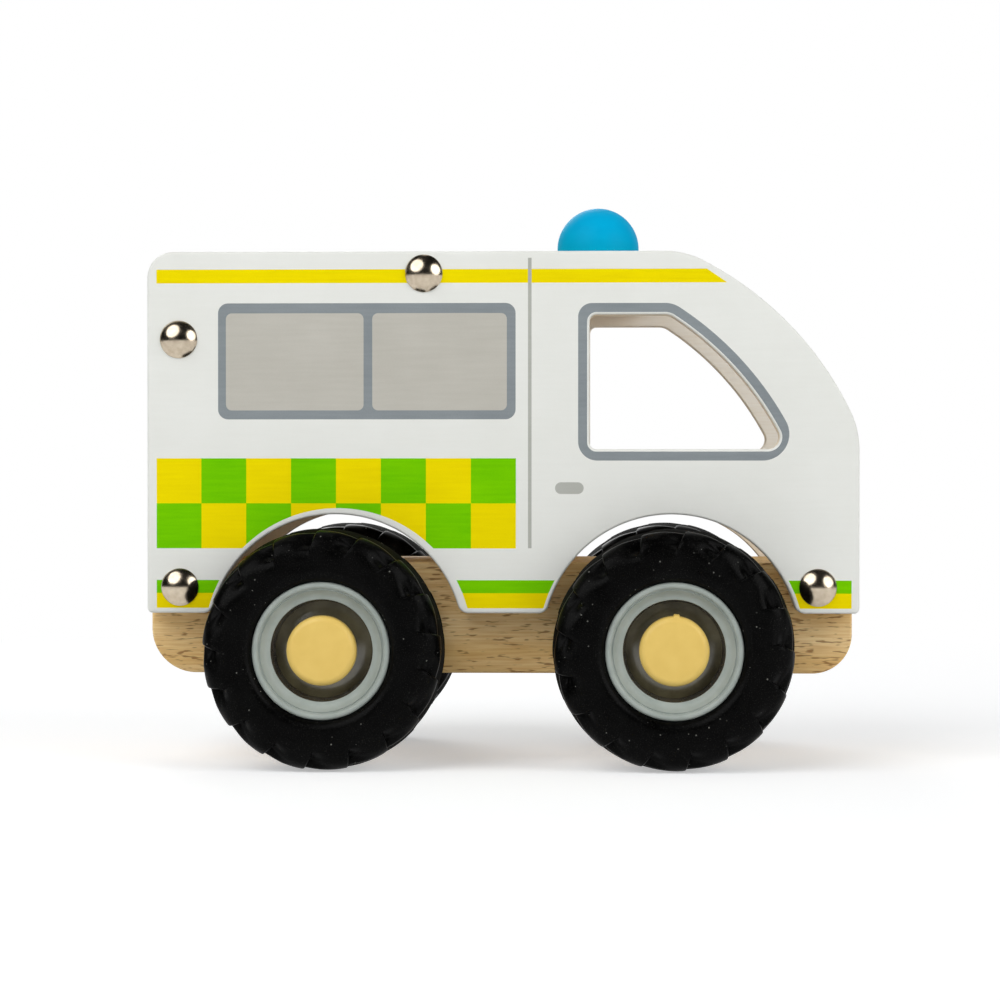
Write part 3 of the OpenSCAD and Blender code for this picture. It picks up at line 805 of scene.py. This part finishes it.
def rim_section():
    """Closed outline of a rim as (radius, distance from the car's middle): hub, web, tyre seat between two
    flanges, round lip, thin groove, hollow band and sunk centre."""
    rim_r = (RIM_HIGH[0] - RIM_LOW[0]) / 2
    rim_in = TYRE_LOW[1] + RIM_INSET
    rim_out = TYRE_HIGH[1] - RIM_INSET
    hub_in = RIM_LOW[1]
    seat_r = rim_r - SEAT_DEPTH
    lip_y = rim_out - LIP_R
    lip_in = rim_r - 2 * LIP_R
    band_out = lip_in - GROOVE_W
    share = np.linspace(0, 1, BAND_POINTS)
    band = np.column_stack([
        band_out + (DISH_R + RIM_EASE - band_out) * share,
        lip_y - BAND_DEPTH * share - BAND_SAG * np.sin(np.pi * share),
    ])
    return path(
        [[BORE_R, hub_in], [HUB_R, hub_in], [HUB_R, WEB_OUT - WEB_T], [DISH_R, WEB_OUT - WEB_T],
         [DISH_R, rim_in], [rim_r, rim_in], [rim_r, rim_in + FLANGE_W], [seat_r, rim_in + FLANGE_W],
         [seat_r, rim_out - FLANGE_W], [rim_r, rim_out - FLANGE_W]],
        arc([rim_r - LIP_R, lip_y], LIP_R, 0, 180, 2 * CORNER_STEPS),
        [[lip_in - GROOVE_W / 4, lip_y - GROOVE_DEPTH], [band_out + GROOVE_W / 4, lip_y - GROOVE_DEPTH]],
        band,
        arc([DISH_R + RIM_EASE, lip_y - BAND_DEPTH - RIM_EASE], RIM_EASE, 90, 180, CORNER_STEPS // 2),
        [[DISH_R - DISH_DRAFT, WEB_OUT - WEB_FALL], [HUB_R, HUB_OUT], [BORE_R, HUB_OUT]],
    )


CAP_TURNS = 144
# The round edge of a cap's face and the small bevel at its back
CAP_EDGE_R = 1.3
CAP_BEVEL = 0.2
CAP_SLEEVE_R = 4
CAP_SLEEVE_L = 1.4
CAP_T = 3.2
CAP_FACE_T = 1.2
CAP_CROWN = 0.12
CAP_FACE_POINTS = 12
AXLE_R = 2
# Moulding gate left on the edge of one cap: where it stands, its width and height, and how far in it reaches
GATE_CAP = ("front", "right")
GATE_ANGLE = 86
GATE_WIDTH = 1.3
GATE_H = 0.35
GATE_REACH = 0.3


def cap_section():
    """Closed outline of an axle cap as (radius, distance from the car's middle): sleeve, disc with a round
    edge and a faintly crowned face."""
    cap_r = (CAP_HIGH[0] - CAP_LOW[0]) / 2
    face = CAP_HIGH[1]
    edge_top = face - CAP_CROWN
    flat_r = cap_r - CAP_EDGE_R
    share = np.linspace(1, 0, CAP_FACE_POINTS)
    back = face - CAP_T
    return np.vstack([
        [[0, face - CAP_FACE_T], [AXLE_R, face - CAP_FACE_T], [AXLE_R, back - CAP_SLEEVE_L],
         [CAP_SLEEVE_R, back - CAP_SLEEVE_L], [CAP_SLEEVE_R, back],
         [cap_r - CAP_BEVEL, back], [cap_r, back + CAP_BEVEL]],
        arc([flat_r, edge_top - CAP_EDGE_R], CAP_EDGE_R, 0, 90, ARC_STEPS // 2),
        np.column_stack([flat_r * share, face - CAP_CROWN * share ** 2])[1:],
    ])


def cap(end, side):
    """An axle cap: its section spun round the axle. One cap keeps the stub of its moulding gate on the edge."""
    section = cap_section()
    points = spin(section, CAP_TURNS)
    radius = np.hypot(points[..., 0], points[..., 1])
    angle = np.degrees(np.arctan2(points[..., 1], points[..., 0]))
    cap_r = section[:, 0].max()
    near_gate = np.abs((angle - GATE_ANGLE + 180) % 360 - 180) < np.degrees(GATE_WIDTH / 2 / cap_r)
    on_edge = radius > cap_r - GATE_REACH
    stub = near_gate & on_edge & ((end, side) == GATE_CAP)
    points[..., :2] *= 1 + stub[..., None] * GATE_H / cap_r
    laid = out_of_side(points, *AXLES[end], SIDES[side])
    make(f"push_cap_{end}_{side}", [sheet(laid, wrap_u=True)], [CAP_YELLOW],
         f"{end}_axle", "cap_plastic", f"axle_cap_{end}_{side}")


def rim(end, side):
    """A dished rim: its section spun round the axle. The wall and the floor of the sunk centre
    have darker finishes of painted shade."""
    section = rim_section()
    radius, depth = (section + np.roll(section, -1, axis=0)).T / 2
    # The wall and the floor of the sunk centre take the finishes of painted shade
    sunk = depth > WEB_OUT - WEB_FALL
    finish = (sunk & (radius < DISH_R)).astype(int) + (sunk & (radius < DISH_R - DISH_DRAFT))
    laid = out_of_side(spin(section, RIM_TURNS), *AXLES[end], SIDES[side])
    skin = sheet(laid, wrap_u=True, wrap_v=True, finish=finish)
    make(f"dished_rim_{end}_{side}", [skin], [RIM_GREY, RIM_WALL_PAINTED_SHADE, RIM_FLOOR_SHADE_AND_REFLECTION],
         f"wheel_{end}_{side}", "rim_plastic", f"rim_{end}_{side}")


RUBBER = tyre_rubber("tyre_rubber", (0.26, 0.38))
TREAD_RUBBER = tyre_rubber("tread_rubber", (0.75, 0.9))
RIM_GREY = moulded_plastic("rim_plastic", tint(170, 178, 172), tint(154, 163, 157))
# Wall of the sunk centre: a dark brown that paints the shade in the recess
RIM_WALL_PAINTED_SHADE = moulded_plastic("rim_wall_painted_shade", tint(62, 52, 34), tint(46, 38, 23),
                           shine=0.6, gloss=(0.2, 0.3))
# Floor of the sunk centre: an olive-brown that paints the recess's shade and a brownish reflection of wood and
# cap
RIM_FLOOR_SHADE_AND_REFLECTION = moulded_plastic("rim_floor_painted_shade_and_reflection", tint(124, 117, 90), tint(96, 90, 66),
                            shine=1.0, gloss=(0.14, 0.24))
CAP_YELLOW = moulded_plastic("cap_plastic", tint(238, 204, 112), tint(233, 198, 105),
                             cloud=3, gloss=(0.34, 0.46))
STEEL = axle_steel()
for end in AXLES:
    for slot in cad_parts[f"{end}_axle"].material_slots:
        slot.material = STEEL
    for side in SIDES:
        tyre(end, side)
        rim(end, side)
        cap(end, side)


# Studio: pale floor, white background, soft lamps and the camera

FLOOR_SIZE = 6000
FLOOR_TINT = (0.79, 0.8, 0.812, 1)
FLOOR_GLOW = 0.42
# Distances from the car's middle between which the floor turns into plain white
FLOOR_FADE = (150, 420)
# Strength of the background where it only lights
AMBIENT = 0.2
# Lamps as (name, place, diameter, watts), and the point that they all face
LAMPS = (
    ("left_box", (-500, -600, 640), 960, 6.0),
    ("right_box", (700, -500, 370), 720, 3.7),
    ("back_box", (-200, 800, 500), 500, 2.5),
)
LAMP_AIM = (0, 0, 55)
# Dark dome: its radius, the angles between which it stands, and its grey
ROOM_R = 1800
ROOM_TURN = (-215, 35)
ROOM_GREY = 0.02
CAMERA_AT = (17.92, -584, 55.73)
CAMERA_AIM = (-0.39, -26, 50.31)
SENSOR_W = 36
# Focal length in picture widths
CAMERA_REACH = 2.957


def look(thing, at, aim):
    """Puts a lamp or the camera in place, facing a point."""
    thing.location = Vector(at) * MM
    thing.rotation_euler = (Vector(aim) - Vector(at)).to_track_quat("-Z", "Y").to_euler()
    bpy.context.scene.collection.objects.link(thing)
    return thing


def studio_piece(name, points, faces, finish):
    """A piece of the studio with one finish."""
    mesh = bpy.data.meshes.new(name)
    mesh.from_pydata(points, [], faces)
    mesh.materials.append(finish)
    piece = bpy.data.objects.new(name, mesh)
    bpy.context.scene.collection.objects.link(piece)
    return piece


def seen_rays(finish):
    """1 for rays that show the background: those from the camera, off gloss and through glass."""
    rays = node(finish, "ShaderNodeLightPath", {}).outputs
    shown = rays["Is Camera Ray"]
    for kind in ("Is Glossy Ray", "Is Transmission Ray"):
        shown = maths(finish, "MAXIMUM", shown, rays[kind])
    return shown


def backdrop():
    """A white world: full white where it is seen, and a plain dim light where it only lights."""
    world = bpy.data.worlds.new("studio")
    bpy.context.scene.world = world
    world.use_nodes = True
    background = world.node_tree.nodes["Background"]
    background.inputs["Color"].default_value = (1, 1, 1, 1)
    level = remap(world, seen_rays(world), 0, 1, AMBIENT, 1)
    world.node_tree.links.new(level, background.inputs["Strength"])


def studio_floor():
    """A pale floor that keeps the shadow and turns into plain white away from the car."""
    finish = new_finish("floor_paper", Base_Color=FLOOR_TINT, Roughness=0.9, Specular_IOR_Level=0.1)
    tree = finish.node_tree
    where = node(finish, "ShaderNodeVectorMath", {0: place(finish)}, operation="LENGTH").outputs["Value"]
    far = remap(finish, where, FLOOR_FADE[0] * MM, FLOOR_FADE[1] * MM)
    shown = seen_rays(finish)
    glow = node(finish, "ShaderNodeEmission", {"Strength": times(finish, shown, FLOOR_GLOW)})
    white = node(finish, "ShaderNodeEmission", {"Strength": 1.0})
    paper = tree.nodes["Principled BSDF"]
    near = node(finish, "ShaderNodeAddShader", {0: paper.outputs[0], 1: glow.outputs[0]})
    share = times(finish, far, shown)
    both = node(finish, "ShaderNodeMixShader", {0: share, 1: near.outputs[0], 2: white.outputs[0]})
    tree.links.new(both.outputs[0], tree.nodes["Material Output"].inputs["Surface"])
    half = FLOOR_SIZE / 2 * MM
    corners = [(-half, -half, 0), (half, -half, 0), (half, half, 0), (-half, half, 0)]
    floor = studio_piece("studio_floor", corners, [(0, 1, 2, 3)], finish)


def dark_room():
    """The unlit room round the front and above: part of a dome that only reflections show."""
    rise = np.radians(np.linspace(0, 90, ARC_STEPS + 1))[:, None]
    turn = np.radians(np.linspace(*ROOM_TURN, 2 * ARC_STEPS + 1))
    dome = np.broadcast_arrays(np.cos(rise) * np.cos(turn), np.cos(rise) * np.sin(turn), np.sin(rise))
    skin = sheet(ROOM_R * np.stack(dome, -1))
    grey = (ROOM_GREY, ROOM_GREY, ROOM_GREY, 1)
    finish = new_finish("dark_cloth", Base_Color=grey, Roughness=1.0, Specular_IOR_Level=0.0)
    room = studio_piece("dark_room", skin["points"] * MM, skin["faces"].tolist(), finish)
    for ray in ("camera", "diffuse", "transmission", "shadow", "volume_scatter"):
        setattr(room, f"visible_{ray}", False)


def lamps():
    """Round soft boxes that all face the car."""
    for name, at, size, watts in LAMPS:
        light = bpy.data.lights.new(name, "AREA")
        light.shape = "DISK"
        light.energy = watts
        light.size = size * MM
        look(bpy.data.objects.new(name, light), at, LAMP_AIM)


def camera():
    """A long lens level with the car, a little to its front."""
    lens = bpy.data.cameras.new("camera")
    lens.sensor_width = SENSOR_W
    lens.lens = SENSOR_W * CAMERA_REACH
    bpy.context.scene.camera = look(bpy.data.objects.new("camera", lens), CAMERA_AT, CAMERA_AIM)


backdrop()
studio_floor()
dark_room()
lamps()
camera()
bpy.context.scene.view_settings.view_transform = "Standard"
